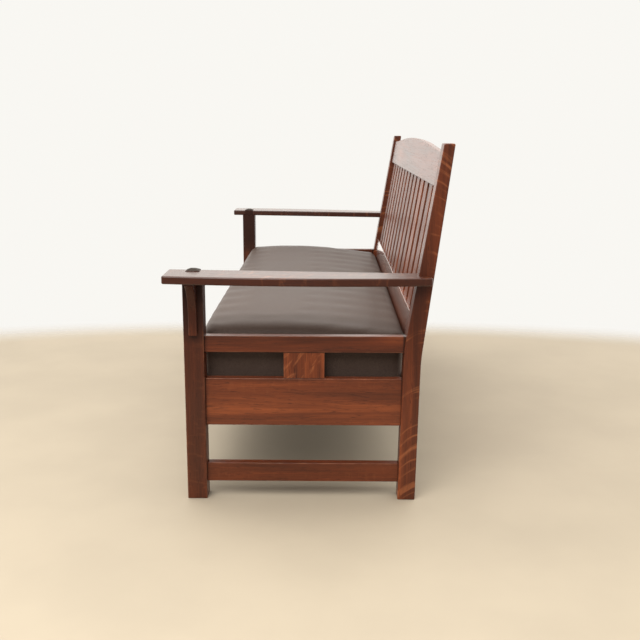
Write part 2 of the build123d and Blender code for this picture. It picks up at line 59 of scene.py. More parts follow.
CAMERA_REACH = 100.0

# Rake of the back, as in the CAD model
RAKE = math.radians(9.35)
ALONG_X, ALONG_Y, ALONG_Z = Vector((1, 0, 0)), Vector((0, 1, 0)), Vector((0, 0, 1))
BACK_UP = Vector((0, math.sin(RAKE), math.cos(RAKE)))
BACK_FACE = Vector((0, -math.cos(RAKE), math.sin(RAKE)))


def aim_camera():
    """Sets up the camera from its place and its pitch below the horizon, yaw and roll."""
    flat = math.cos(CAMERA_PITCH)
    forward = Vector((-math.cos(CAMERA_YAW) * flat, math.sin(CAMERA_YAW) * flat, -math.sin(CAMERA_PITCH)))
    right = forward.cross(ALONG_Z).normalized()
    down = forward.cross(right)
    turn_c, turn_s = math.cos(CAMERA_ROLL), math.sin(CAMERA_ROLL)
    right, down = right * turn_c + down * turn_s, down * turn_c - right * turn_s
    data = bpy.data.cameras.new("camera")
    data.lens = LENS_MM
    data.sensor_width = SENSOR_MM
    data.clip_end = CAMERA_REACH
    camera = bpy.data.objects.new("camera", data)
    bpy.context.scene.collection.objects.link(camera)
    axes = Matrix((right, -down, -forward)).transposed()
    camera.matrix_world = Matrix.Translation(CAMERA_PLACE) @ axes.to_4x4()
    bpy.context.scene.camera = camera


class Wire:
    """An output of a shader node. Arithmetic on it adds Math nodes."""

    def __init__(self, finish, socket):
        self.finish = finish
        self.socket = socket

    def maths(self, operation, *values):
        return self.finish.node("ShaderNodeMath", {"operation": operation}, dict(enumerate(values)))

    def __add__(self, other):
        return self.maths("ADD", self, other)

    def __mul__(self, other):
        return self.maths("MULTIPLY", self, other)

    def __sub__(self, other):
        return self.maths("SUBTRACT", self, other)

    def __rsub__(self, other):
        return self.maths("SUBTRACT", other, self)

    def __truediv__(self, other):
        return self.maths("DIVIDE", self, other)

    def __pow__(self, other):
        return self.maths("POWER", self, other)

    __radd__ = __add__
    __rmul__ = __mul__

    def most(self, other):
        return self.maths("MAXIMUM", self, other)

    def size(self):
        return self.maths("ABSOLUTE", self)

    def sine(self):
        return self.maths("SINE", self)

    def rise(self, low, high, start=0.0, end=1.0):
        """Goes smoothly from start to end while this value goes from low to high."""
        return self.finish.node(
            "ShaderNodeMapRange",
            {"interpolation_type": "SMOOTHSTEP"},
            {"Value": self, "From Min": low, "From Max": high, "To Min": start, "To Max": end},
        )


# Sockets of a Mix node that are used when it mixes colours
MIX_FACTOR, MIX_FIRST, MIX_SECOND, MIX_COLOUR = 0, 6, 7, 2


class Finish:
    """A material, or the world's light, that is built up node by node."""

    def __init__(self, name="", tree=None):
        if tree is None:
            self.material = bpy.data.materials.new(name)
            self.material.use_nodes = True
            tree = self.material.node_tree
        self.tree = tree
        tree.nodes.clear()

    def node(self, kind, settings=None, values=None, output=0):
        """Adds a node, sets it up, gives its sockets values or links, and returns one output."""
        made = self.tree.nodes.new(kind)
        for name, value in (settings or {}).items():
            if name == "stops":
                while len(made.color_ramp.elements) < len(value):
                    made.color_ramp.elements.new(0.5)
                for element, (place, colour) in zip(made.color_ramp.elements, value):
                    element.position = place
                    element.color = (*colour, 1.0)
            else:
                setattr(made, name, value)
        for name, value in (values or {}).items():
            socket = made.inputs[name]
            if isinstance(value, Wire):
                self.tree.links.new(value.socket, socket)
            else:
                socket.default_value = value
        return Wire(self, made.outputs[output]) if made.outputs else None

    def place(self):
        """Object coordinates."""
        return self.node("ShaderNodeTexCoord", output="Object")

    def mapped(self, vector, scale=(1, 1, 1), turn=(0, 0, 0), shift=(0, 0, 0)):
        """A vector that is scaled, turned and then shifted."""
        values = {"Vector": vector, "Scale": scale, "Rotation": turn, "Location": shift}
        return self.node("ShaderNodeMapping", {"vector_type": "POINT"}, values)

    def parts(self, vector):
        """The three parts of a vector."""
        made = self.node("ShaderNodeSeparateXYZ", values={"Vector": vector}).socket.node
        return [Wire(self, output) for output in made.outputs]

    def noise(self, vector, detail=2.0, roughness=0.5, distortion=0.0, scale=1.0):
        """Cloudy noise from 0 to 1."""
        values = {"Vector": vector, "Scale": scale, "Detail": detail, "Roughness": roughness}
        values["Distortion"] = distortion
        return self.node("ShaderNodeTexNoise", {"noise_dimensions": "3D"}, values, output="Fac")

    def mix(self, factor, first, second):
        """A colour between two colours."""
        first, second = (c if isinstance(c, Wire) else (*c, 1.0) for c in (first, second))
        values = {MIX_FACTOR: factor, MIX_FIRST: first, MIX_SECOND: second}
        return self.node("ShaderNodeMix", {"data_type": "RGBA"}, values, output=MIX_COLOUR)

    def bump(self, height, strength, distance, under=None):
        """A normal that follows a height, on top of another bump where there is one."""
        values = {"Height": height, "Strength": strength, "Distance": distance}
        if under is not None:
            values["Normal"] = under
        return self.node("ShaderNodeBump", values=values, output="Normal")

    def surface(self, **sockets):
        """The shader itself: words joined by underscores are its sockets' names."""
        names = {name.replace("_", " ").title().replace("Ior", "IOR"): v for name, v in sockets.items()}
        shader = self.node("ShaderNodeBsdfPrincipled", values=names)
        self.node("ShaderNodeOutputMaterial", values={"Surface": shader})
        return self.material


# The values of cloudy noise that are drawn out to the whole range from 0 to 1
NOISE_RANGE = (0.3, 0.7)


def extents(obj, axes):
    """Lowest and highest places of an object's points along three axes."""
    local = coordinates(obj) @ np.array([tuple(axis) for axis in axes]).T
    return local.min(axis=0), local.max(axis=0)


# Fumed oak: colours from the darkest pores to the lightest flecks
OAK_PORE = (0.014, 0.0035, 0.0012)
OAK_DARK = (0.051, 0.0116, 0.0040)
OAK_RED = (0.142, 0.0305, 0.0088)
OAK_WARM = (0.262, 0.0620, 0.0170)
OAK_FLECK = (0.420, 0.135, 0.0480)
# Lighter arrises: partly wear, partly painted highlight
OAK_WORN_HIGHLIGHT = (0.400, 0.160, 0.0800)
OAK_END = (0.022, 0.0150, 0.0090)
# A board's colours by its depth of tone, and the depths between which they run
OAK_STOPS = [(0.0, OAK_DARK), (0.55, OAK_RED), (1.0, OAK_WARM)]
OAK_DEPTHS = (0.31, 0.88)
# The patterns' scales: along the grain, across the board and through it
DRIFT_SCALE = (2.2, 9, 9)
TONE_SCALE = (1.7, 24, 24)
LINE_SCALE = (3.5, 190, 120)
PORE_SCALE = (32, 640, 640)
WAVER_SCALE = (14, 14, 14)
PATCH_SCALE = (30, 30, 30)
# How far the pattern moves on from one board to the next, and how much lighter or darker boards are
BOARD_STEP = Vector((0.37, 0.61, 0.83))
BOARD_SPREAD, SPREAD_TURN = 0.035, 2.4
# What the patterns add to a board's depth of tone, and the depth that all boards have
TONE_SHARE, DRIFT_SHARE, LINE_SHARE, BOARD_DEPTH = 0.55, 0.30, 0.34, 0.02
# How much of their own colour pores, arrises lightened by wear and painted highlight, joint lines and end
# grain have
PORE_MIX, WORN_HIGHLIGHT_MIX, JOINT_MIX, END_MIX = 0.85, 0.24, 0.80, 0.92
# Roughness of the oak, and what growth lines, pores and end grain add to it
ROUGH, ROUGH_LINES, ROUGH_PORES, ROUGH_END = 0.36, 0.14, 0.20, 0.30
# Painted shade of the arms' shadow on what lies under them: the heights where it starts and is full, and how
# much it darkens and blackens a piece
ARM_SHADE_HEIGHTS = (0.43, 0.52)
UNDER_THE_ARMS = {"front_post": (0.50, 0.55), "corbel": (0.27, 0.0)}
# The height at which a front post's top turns to end grain, just above the arm
END_GRAIN = (0.6355, 0.6365)
# How far a piece's shoulders lie inside its tenons' ends, and how wide the dark line along a joint is
SHOULDERS = {"upper_side_rail": 0.019, "lower_side_rail": 0.019, "side_stretcher": 0.019, "side_block": 0.008}
JOINT_SHADE = 0.003
# How far from an arris its lightening, partly wear and partly painted highlight, is still full and how far
# it reaches, and the noise between which it comes and goes
WEAR_HIGHLIGHT_REACH = (0.0005, 0.0035)
WEAR_HIGHLIGHT_PATCHES = (0.35, 0.65)
# The noise between which a pore's edge is soft, and the growth lines' values between which pores come
PORE_EDGE, PORE_LINES = (0.54, 0.70), (0.36, 0.60)
# How strong and how deep the relief of pores and growth lines is
PORE_RELIEF, LINE_RELIEF = (0.35, 0.0004), (0.10, 0.0006)
# Coats of polish, their weight and roughness: heavier on arms and rails, thin on the slats
COAT = (0.25, 0.24)
OTHER_COATS = {
    "arm": (0.50, 0.22),
    "upper_side_rail": (0.40, 0.20),
    "lower_side_rail": (0.32, 0.20),
    "lower_back_rail": (1.0, 0.14),
    "crest_rail": (0.45, 0.24),
    "back_slat": (0.08, 0.24),
}
# The coat's weight where the arms' shadow is painted, so that the painted shade there has little sheen
ARM_SHADE_COAT = 0.06

# A board's ray figure: its slant, its bow, its scales, its strength, and how patchy it is
FIGURES = {
    "plain": (0.0, 0.0, (90, 30, 30), 0.06, 0.50),
    "flecks": (0.42, 3.0, (80, 17, 22), 0.24, 0.50),
    "arcs": (0.0, 9.0, (58, 4, 8), 0.42, 0.37),
    "diagonal": (-0.85, 2.0, (85, 18, 22), 0.42, 0.30),
}
# How far the rays waver, the noise between which a ray's edge is soft, and how soft a patch's edge is
WAVER = 0.012
RAY_EDGE = (0.54, 0.68)
PATCH_EDGE = 0.1


def ray_figure(finish, board, drift, middle, figure):
    """Ray flecks: noise drawn out across the board, slanting and bowed.

    With a along the grain and b across it from the board's middle, the noise is read at
    a + bow b b, then turned by the slant.
    """
    slant, bow, scale, strength, patchy = FIGURES[figure]
    along, across, through = finish.parts(board)
    waver = finish.noise(finish.mapped(board, scale=WAVER_SCALE), detail=2) * WAVER
    off = across - middle
    bowed = {"X": along + off * off * bow + waver, "Y": across, "Z": through}
    bent = finish.node("ShaderNodeCombineXYZ", values=bowed)
    turned = finish.mapped(finish.mapped(bent, turn=(0, 0, slant)), scale=scale)
    rays = finish.noise(turned, detail=3, roughness=0.5, distortion=0.7)
    patches = drift.rise(patchy - PATCH_EDGE, patchy + PATCH_EDGE)
    return rays.rise(*RAY_EDGE) * patches * strength


# The lower side rails, by the share of their height from the bottom edge: where the lighter band, painted
# light from the floor's bounce, comes and goes, where the face darkens towards its upper edge, and by how
# much
BAND_COMES, BAND_GOES, BAND_GAIN = (0.02, 0.30), (0.36, 0.56), 0.11
EDGE_DARKENS, EDGE_LOSS = (0.5, 0.95), 0.05


def rail_bounce_band(finish, local, low, high):
    """The lower side rails: a lighter band low on the face, painted light from the floor's bounce, and a
    darker upper edge.
    """
    share = (finish.parts(local)[1] - low[1]) / (high[1] - low[1])
    band = share.rise(*BAND_COMES) * share.rise(*BAND_GOES, 1.0, 0.0)
    return band * BAND_GAIN - share.rise(*EDGE_DARKENS) * EDGE_LOSS


def arris_wear_and_highlight(finish, local, low, high):
    """Lighter long arrises of a box-shaped piece, partly wear and partly painted highlight: where both
    its wide and its narrow face are close.

    The greater of the distances from the two pairs of faces, along b and c, is small only near an
    arris. Noise breaks the lighter line up.
    """
    gaps = []
    for part, start, end in list(zip(finish.parts(local), low, high))[1:]:
        middle, half = (start + end) / 2, (end - start) / 2
        gaps.append(half - (part - middle).size())
    near = gaps[0].most(gaps[1])
    patchy = finish.noise(finish.mapped(local, scale=PATCH_SCALE), detail=3)
    return near.rise(*WEAR_HIGHLIGHT_REACH, 1.0, 0.0) * patchy.rise(*WEAR_HIGHLIGHT_PATCHES)


def oak(obj, kind, seed):
    """Fumed oak under a satin finish, with its grain along the piece.

    The pattern is solid: a is measured along the grain, b across the wide face and c through it.
    Slow noise stretched along a gives the board's tone, finer noise its growth lines and pores, and
    ray_figure its flecks. Joints have a dark line, painted shade of the arms' shadow darkens what is under
    the arms and thins its coat, the lower side rails carry a painted band of light from the floor, the
    front posts' tops show end grain, and a box-shaped piece has lighter arrises, partly wear and partly
    painted highlight.
    """
    grain, face, tone, boxed, figure = PIECES[kind]
    tone += BOARD_SPREAD * math.sin(SPREAD_TURN * seed)
    axes = (grain, face.cross(grain).normalized(), face)
    low, high = (Vector(corner) for corner in extents(obj, axes))
    finish = Finish("oak_" + obj.name)
    shift = BOARD_STEP * seed
    local = finish.mapped(finish.place(), turn=Matrix(axes).to_euler())
    board = finish.mapped(local, shift=shift)

    drift = finish.noise(finish.mapped(board, scale=DRIFT_SCALE), detail=3)
    tones = finish.noise(finish.mapped(board, scale=TONE_SCALE), detail=4, distortion=0.5)
    fine = finish.mapped(board, scale=LINE_SCALE)
    lines = finish.noise(fine, detail=3, roughness=0.6, distortion=0.25)
    pores = finish.noise(finish.mapped(board, scale=PORE_SCALE), detail=3)

    depth = tones * TONE_SHARE + drift * DRIFT_SHARE + lines * LINE_SHARE + (tone + BOARD_DEPTH)
    # Painted light from the floor's bounce, low on the lower side rails
    if kind == "lower_side_rail":
        depth = depth + rail_bounce_band(finish, local, low, high)
    coat, coat_rough = OTHER_COATS.get(kind, COAT)
    end = 0.0
    if kind in UNDER_THE_ARMS:
        darker, blackened = UNDER_THE_ARMS[kind]
        # Painted shade under the arms: the arms' shadow darkens the tone, and the coat thins there
        height = finish.parts(finish.place())[2]
        arm_shade = height.rise(*ARM_SHADE_HEIGHTS)
        depth = depth - arm_shade * darker
        end = height.rise(*END_GRAIN)
        coat = height.rise(*ARM_SHADE_HEIGHTS, COAT[0], ARM_SHADE_COAT)
    colour = finish.node("ShaderNodeValToRGB", {"stops": OAK_STOPS}, {"Fac": depth.rise(*OAK_DEPTHS)})
    middle = (low[1] + high[1]) / 2 + shift[1]
    colour = finish.mix(ray_figure(finish, board, drift, middle, figure), colour, OAK_FLECK)
    pore_mask = pores.rise(*PORE_EDGE) * lines.rise(*PORE_LINES)
    colour = finish.mix(pore_mask * PORE_MIX, colour, OAK_PORE)
    if boxed:
        # Lighter arrises, partly wear and partly painted highlight
        colour = finish.mix(arris_wear_and_highlight(finish, local, low, high) * WORN_HIGHLIGHT_MIX, colour, OAK_WORN_HIGHLIGHT)
    if kind in SHOULDERS:
        off = (finish.parts(local)[0] - (low[0] + high[0]) / 2).size()
        shoulder = (high[0] - low[0]) / 2 - SHOULDERS[kind]
        colour = finish.mix(off.rise(shoulder - JOINT_SHADE, shoulder, 0.0, JOINT_MIX), colour, OAK_PORE)
    if kind in UNDER_THE_ARMS:
        # Painted shade: the arms' shadow blackens the tops of the posts and the corbels
        colour = finish.mix(arm_shade * blackened, colour, OAK_PORE)
        colour = finish.mix(end * END_MIX, colour, OAK_END)
    relief = finish.bump(1 - pore_mask, *PORE_RELIEF)
    relief = finish.bump(lines, *LINE_RELIEF, under=relief)
    return finish.surface(
        base_color=colour,
        roughness=ROUGH + lines * ROUGH_LINES + pore_mask * ROUGH_PORES + end * ROUGH_END,
        normal=relief,
        specular_ior_level=0.25,
        coat_weight=coat,
        coat_roughness=coat_rough,
        coat_ior=1.5,
    )


# Hidden hardwood: its dark and light tones, raw and stained, its grain's scale and relief, how far the
# pattern moves on from one board to the next, and its roughness
HARDWOOD_RAW = ((0.30, 0.165, 0.075), (0.47, 0.29, 0.15))
HARDWOOD_STAINED = ((0.040, 0.017, 0.008), (0.085, 0.036, 0.017))
HARDWOOD_SCALE = (3, 140, 90)
HARDWOOD_RELIEF = (0.25, 0.0008)
HARDWOOD_STEP = Vector((0.41, 0.73, 0.29))
HARDWOOD_ROUGH = 0.62


def inner_hardwood(obj, kind, seed):
    """Plain sawn hardwood of the hidden pieces: matt, with fine grain along it, pale or stained."""
    grain, face, stained = HIDDEN_PIECES[kind]
    finish = Finish("hardwood_" + obj.name)
    turn = Matrix((grain, face.cross(grain).normalized(), face)).to_euler()
    board = finish.mapped(finish.mapped(finish.place(), turn=turn), shift=HARDWOOD_STEP * seed)
    lines = finish.noise(finish.mapped(board, scale=HARDWOOD_SCALE), detail=4, distortion=0.4)
    dark, light = HARDWOOD_STAINED if stained else HARDWOOD_RAW
    colour = finish.mix(lines.rise(*NOISE_RANGE), dark, light)
    relief = finish.bump(lines, *HARDWOOD_RELIEF)
    return finish.surface(base_color=colour, roughness=HARDWOOD_ROUGH, normal=relief)


# Leather: its ground tone, which is pure in the grooves, the two browns that mottle its pebbles, and
# how much of them a pebble has over the ground tone
LEATHER_GROUND = (0.054, 0.0355, 0.0280)
LEATHER_DARK = (0.155, 0.1060, 0.0850)
LEATHER_LIGHT = (0.228, 0.1600, 0.1290)
PEBBLE_MIX = 0.35
# The patterns' scales, and the distances from a pebble's edge between which it rises from its groove
PEBBLE_SCALE, GRAIN_SCALE, MOTTLE_SCALE = 520.0, 900.0, 9.0
CREASE_SCALE = (26, 60, 60)
PEBBLE_EDGE = (0.0, 0.35)
# The shares of pebbles and fine grain in the relief, and how strong and how deep it and the creases are
PEBBLE_SHARE, GRAIN_SHARE = 0.7, 0.3
PEBBLE_RELIEF, CREASE_RELIEF = (0.22, 0.0003), (0.10, 0.0015)
# Roughness of the leather, what mottling adds to it, and what pebbles take from it
LEATHER_ROUGH, ROUGH_MOTTLING, ROUGH_PEBBLES = 0.46, 0.10, 0.04


def leather():
    """Dark brown upholstery leather: fine pebbled grain, soft creases and a dull sheen."""
    finish = Finish("seat_leather")
    place = finish.place()
    cells = finish.node(
        "ShaderNodeTexVoronoi",
        {"feature": "DISTANCE_TO_EDGE"},
        {"Vector": place, "Scale": PEBBLE_SCALE},
        output="Distance",
    )
    pebbles = cells.rise(*PEBBLE_EDGE)
    fine = finish.noise(place, detail=3, scale=GRAIN_SCALE)
    stretched = finish.mapped(place, scale=CREASE_SCALE)
    creases = finish.noise(stretched, detail=4, roughness=0.6, distortion=1.2)
    mottling = finish.noise(place, detail=4, scale=MOTTLE_SCALE)
    colour = finish.mix(mottling.rise(*NOISE_RANGE), LEATHER_DARK, LEATHER_LIGHT)
    colour = finish.mix(pebbles * PEBBLE_MIX, LEATHER_GROUND, colour)
    relief = finish.bump(pebbles * PEBBLE_SHARE + fine * GRAIN_SHARE, *PEBBLE_RELIEF)
    relief = finish.bump(creases, *CREASE_RELIEF, under=relief)
    rough = LEATHER_ROUGH + mottling * ROUGH_MOTTLING - pebbles * ROUGH_PEBBLES
    return finish.surface(
        base_color=colour,
        roughness=rough,
        normal=relief,
        specular_ior_level=0.14,
        coat_weight=0.03,
        coat_roughness=0.40,
        coat_ior=1.5,
    )


# Woven cloth: how far from the threads' crossings their tone turns, how strong its relief is, how deep
# as a share of the pitch, and its roughness
WEAVE_EDGE = 0.6
WEAVE_STRENGTH, WEAVE_DEPTH = 0.5, 0.2
WEAVE_ROUGH = 0.9


def woven(name, dark, light, pitch):
    """Plain weave: two crossed sine ridges, one thread over and one under."""
    finish = Finish(name)
    along, across, _ = finish.parts(finish.place())
    turns = 2 * math.pi / pitch
    over = (along * turns).sine() * (across * turns).sine()
    colour = finish.mix(over.rise(-WEAVE_EDGE, WEAVE_EDGE), dark, light)
    relief = finish.bump(over, WEAVE_STRENGTH, pitch * WEAVE_DEPTH)
    return finish.surface(base_color=colour, roughness=WEAVE_ROUGH, normal=relief)


def dress(obj, material):
    """Gives a CAD node its finish."""
    obj.data.materials.clear()
    obj.data.materials.append(material)


# Each kind of wooden piece: its grain, the way its wide face looks, how light its boards are, whether
# it is a box, and its ray figure
PIECES = {
    "front_post": (ALONG_Z, ALONG_X, -0.17, True, "plain"),
    "back_post": (ALONG_Z, ALONG_X, -0.09, False, "arcs"),
    "arm": (ALONG_Y, ALONG_Z, -0.31, False, "flecks"),
    "corbel": (ALONG_Z, ALONG_Y, -0.09, False, "plain"),
    "upper_side_rail": (ALONG_Y, ALONG_X, -0.07, True, "plain"),
    "lower_side_rail": (ALONG_Y, ALONG_X, -0.02, True, "plain"),
    "side_stretcher": (ALONG_Y, ALONG_X, -0.10, True, "plain"),
    "side_block": (ALONG_Z, ALONG_X, 0.03, True, "diagonal"),
    "front_seat_rail": (ALONG_X, -ALONG_Y, -0.03, True, "flecks"),
    "back_seat_rail": (ALONG_X, ALONG_Y, -0.03, True, "plain"),
    "crest_rail": (ALONG_X, BACK_FACE, -0.03, False, "flecks"),
    "lower_back_rail": (ALONG_X, BACK_FACE, -0.06, True, "plain"),
    "back_slat": (BACK_UP, BACK_FACE, -0.05, True, "flecks"),
}
# Each kind of hidden piece: its grain, the way its wide face looks, and whether it is stained
HIDDEN_PIECES = {
    "seat_bearer": (ALONG_Y, ALONG_X, True),
    "seat_cleat_front": (ALONG_X, ALONG_Y, True),
    "seat_cleat_back": (ALONG_X, ALONG_Y, True),
    "seat_cleat_side": (ALONG_Y, ALONG_X, True),
    "seat_frame_front": (ALONG_X, ALONG_Z, False),
    "seat_frame_back": (ALONG_X, ALONG_Z, False),
    "seat_frame_end": (ALONG_Y, ALONG_Z, False),
    "seat_frame_brace": (ALONG_Y, ALONG_Z, False),
    "arm_dowels": (ALONG_Y, ALONG_Z, False),
}


def kind_of(name):
    """The kind of piece that a node is: its name, less its side or number."""
    return name if name in PIECES or name in HIDDEN_PIECES else name.rsplit("_", 1)[0]


def dress_wood():
    """Finishes every wooden node, each as a board of its own."""
    for seed, name in enumerate(sorted(nodes), start=1):
        kind = kind_of(name)
        if kind in PIECES:
            dress(nodes[name], oak(nodes[name], kind, seed))
        elif kind in HIDDEN_PIECES:
            dress(nodes[name], inner_hardwood(nodes[name], kind, seed))


def mesh_object(name, points, faces):
    """A mesh object at the origin."""
    mesh = bpy.data.meshes.new(name)
    mesh.from_pydata(points, [], faces)
    mesh.update()
    made = bpy.data.objects.new(name, mesh)
    bpy.context.scene.collection.objects.link(made)
    return made


# Stage: a pale floor that fades out in an oval round the settle
FLOOR_TONE = (0.410, 0.352, 0.268)
FLOOR_CLOUD, CLOUD_SCALE = 0.93, 2.5
FLOOR_RADIUS = 7.0
FLOOR_SIDES = 96
FADE_MIDDLE = 0.35
FADE_X, FADE_Y = 1.62, 3.2
FADE_EDGE = (0.88, 1.12)


def pale_floor():
    """A round floor, pale and slightly clouded, that fades out round the settle.

    Its points lie at equal turns on a circle. It fades where the squares of x, from the oval's
    middle, and of y, each in parts of the oval's half width, add up to about 1.
    """
    turns = np.linspace(0, 2 * math.pi, FLOOR_SIDES, endpoint=False)
    rim = np.column_stack((np.cos(turns), np.sin(turns), np.zeros(FLOOR_SIDES))) * FLOOR_RADIUS
    floor = mesh_object("floor", rim.tolist(), [list(range(FLOOR_SIDES))])
    finish = Finish("floor")
    x, y, _ = finish.parts(finish.place())
    reach = (((x - FADE_MIDDLE) / FADE_X) ** 2 + (y / FADE_Y) ** 2) ** 0.5
    clouds = finish.noise(finish.place(), detail=4, scale=CLOUD_SCALE)
    darker = tuple(part * FLOOR_CLOUD for part in FLOOR_TONE)
    tone = finish.mix(clouds.rise(*NOISE_RANGE), darker, FLOOR_TONE)
    present = reach.rise(*FADE_EDGE, 1.0, 0.0)
    floor.data.materials.append(
        finish.surface(base_color=tone, roughness=0.75, specular_ior_level=0.3, alpha=present)
    )


# Light: a plain backdrop, a world that is brighter at the far end and above, and one softbox
BACKDROP = (0.945, 0.93, 0.89)
WORLD_TONE = (1.0, 0.965, 0.91)
# The world's strength at the far end and the near one, and how much stronger the ceiling is, with the
# directions between which each changes
WORLD_FAR, WORLD_NEAR, ALONG_RANGE = 1.60, 0.30, (-0.4, 0.85)
WORLD_CEILING, UPWARD_RANGE = 1.5, (0.1, 0.8)


def soft_world():
    """A plain near-white backdrop, and light that depends on the direction alone.

    The light falls from the far end (x = -1) to the near one, and rises towards the ceiling.
    """
    world = bpy.data.worlds.new("studio")
    bpy.context.scene.world = world
    world.use_nodes = True
    shade = Finish(tree=world.node_tree)
    x, _, z = shade.parts(shade.node("ShaderNodeTexCoord", output="Generated"))
    strength = x.rise(*ALONG_RANGE, WORLD_FAR, WORLD_NEAR) * z.rise(*UPWARD_RANGE, 1.0, WORLD_CEILING)
    light = shade.node("ShaderNodeBackground", values={"Color": (*WORLD_TONE, 1), "Strength": strength})
    plain = shade.node("ShaderNodeBackground", values={"Color": (*BACKDROP, 1), "Strength": 1.0})
    seen = shade.node("ShaderNodeLightPath", output="Is Camera Ray")
    both = shade.node("ShaderNodeMixShader", values={0: seen, 1: light, 2: plain})
    shade.node("ShaderNodeOutputWorld", values={"Surface": both})


KEY_PLACE, KEY_TARGET = Vector((2.9, -0.8, 2.8)), Vector((0.5, 0, 0.3))
KEY_SIDE = 2.2
KEY_POWER = 104.0
KEY_TONE = (1.0, 0.97, 0.93)


def key_light():
    """A large square softbox above the near end, which looks at the seat."""
    data = bpy.data.lights.new("key", "AREA")
    data.shape = "SQUARE"
    data.size = KEY_SIDE
    data.energy = KEY_POWER
    data.color = KEY_TONE
    light = bpy.data.objects.new("key", data)
    light.visible_camera = False
    light.location = KEY_PLACE
    light.rotation_euler = (KEY_TARGET - KEY_PLACE).to_track_quat("-Z", "Y").to_euler()
    bpy.context.scene.collection.objects.link(light)


def light_studio():
    """The world, the key light and a plain view of the colours."""
    soft_world()
    key_light()
    bpy.context.scene.view_settings.view_transform = "Standard"


# Seat: how fine its mesh is, how far its form is drawn in, how far it may swell, for how many frames
# its cover is simulated, and how often its mesh and its swell are evened out
SEAT_GRID = 0.011
DRAW_IN = 0.0025
SWELL_CAP = 0.006
SIM_FRAMES = 20
MESH_ROUNDS, SWELL_ROUNDS = 2, 60
# The cover is held firm on its frame up to this height above its foot
FIRM_EDGE = 0.045
# The plump rear edge above the seat rail: how far it stands out, at what height, and how broad it is
REAR_BULGE = 0.0054
BULGE_HEIGHT, BULGE_SPREAD = 0.441, 0.020
# Where above the back seat rail the cover may start to stand proud, and where it may fully
PROUD_START, PROUD_FULL = 0.01, 0.04
# The front and rear rolls: how far they fill out, and the heights above the foot where they start and
# where they are full
ROLL_FILL = 0.006
ROLL_START, ROLL_FULL = 0.045, 0.135
# The ridges over the springs: their pitch, their height, and how far below the crown they start and
# are full
SPRING_PITCH = 0.118
RIPPLE = 0.0012
RIDGE_START, RIDGE_FULL = 0.06, 0.02
# How far the rows wander, in radians, and how fast, in radians to a metre of depth
ROW_WANDER, WANDER_RATE = 0.6, 9
# How much of a ridge's height comes and goes with the springs' pitch from front to rear
RANK_SHARE = 0.3
# The rolls and the rear edge are full on what faces the front or the rear by at least half
FACING_GAIN = 2
# The cover's foot: each ring's height above it, and how much further in it lies than the one before.
# The first ring is where the cover is cut off
TURN_RINGS = ((0.020, 0.0), (0.0045, 0.0), (0.0016, 0.0005), (0.0002, 0.0015), (0.0, 0.0030), (0.0, 0.0090))


def smooth_step(values, start, end):
    """Goes from 0 to 1 as 3 t t - 2 t t t while the values go from start to end."""
    t = np.clip((values - start) / (end - start), 0, 1)
    return t * t * (3 - 2 * t)


def hull_of(name, source):
    """The closed, convex outer form of a node, as a new object."""
    form = bmesh.new()
    for point in np.unique(coordinates(source).round(6), axis=0):
        form.verts.new(point)
    hull = bmesh.ops.convex_hull(form, input=form.verts)
    loose = [v for v in hull["geom_interior"] if isinstance(v, bmesh.types.BMVert)]
    bmesh.ops.delete(form, geom=loose, context="VERTS")
    bmesh.ops.recalc_face_normals(form, faces=form.faces)
    mesh = bpy.data.meshes.new(name)
    form.to_mesh(mesh)
    form.free()
    made = bpy.data.objects.new(name, mesh)
    bpy.context.scene.collection.objects.link(made)
    return made


def apply_modifier(obj, modifier):
    """Applies one modifier of an object."""
    with bpy.context.temp_override(object=obj, active_object=obj, selected_objects=[obj]):
        bpy.ops.object.modifier_apply(modifier=modifier.name)


def coordinates(obj):
    """The places of an object's points."""
    points = np.empty(len(obj.data.vertices) * 3, np.float32)
    obj.data.vertices.foreach_get("co", points)
    return points.reshape(-1, 3)


def normals(obj):
    """The way the surface faces at an object's points."""
    facing = np.empty(len(obj.data.vertices) * 3, np.float32)
    obj.data.vertex_normals.foreach_get("vector", facing)
    return facing.reshape(-1, 3)


def set_coordinates(obj, points):
    """Moves an object's points to new places."""
    obj.data.vertices.foreach_set("co", np.asarray(points, np.float32).ravel())
    obj.data.update()


def blow_up(obj, cap):
    """Simulates the cover as cloth under air pressure, held firm where the group firm is.

    What each point moved outwards is capped and then evened out over its neighbours, so the cover
    swells softly and pulls in nowhere.
    """
    start = coordinates(obj).copy()
    facing = normals(obj)
    cloth = obj.modifiers.new("cover", "CLOTH")
    cloth.settings.quality = 5
    cloth.settings.mass = 0.4
    cloth.settings.tension_stiffness = 40
    cloth.settings.compression_stiffness = 40
    cloth.settings.shear_stiffness = 20
    cloth.settings.bending_stiffness = 4.0
    cloth.settings.use_pressure = True
    cloth.settings.uniform_pressure_force = 4.0
    cloth.settings.vertex_group_mass = "firm"
    cloth.settings.effector_weights.gravity = 0.0
    scene = bpy.context.scene
    for step in range(1, SIM_FRAMES + 1):
        scene.frame_set(step)
        bpy.context.view_layer.update()
    apply_modifier(obj, cloth)
    scene.frame_set(1)
    swell = ((coordinates(obj) - start) * facing).sum(axis=1, keepdims=True)
    set_coordinates(obj, start + facing * evened(obj, np.clip(swell, 0, cap), SWELL_ROUNDS))


def evened(obj, values, rounds):
    """Takes the mean of each point's value with its neighbours', several times over."""
    edges = np.empty(len(obj.data.edges) * 2, np.int32)
    obj.data.edges.foreach_get("vertices", edges)
    first, second = edges.reshape(-1, 2).T
    count = np.bincount(edges, minlength=len(values))[:, None] + 1
    for _ in range(rounds):
        total = values.copy()
        np.add.at(total, first, values[second])
        np.add.at(total, second, values[first])
        values = total / count
    return values


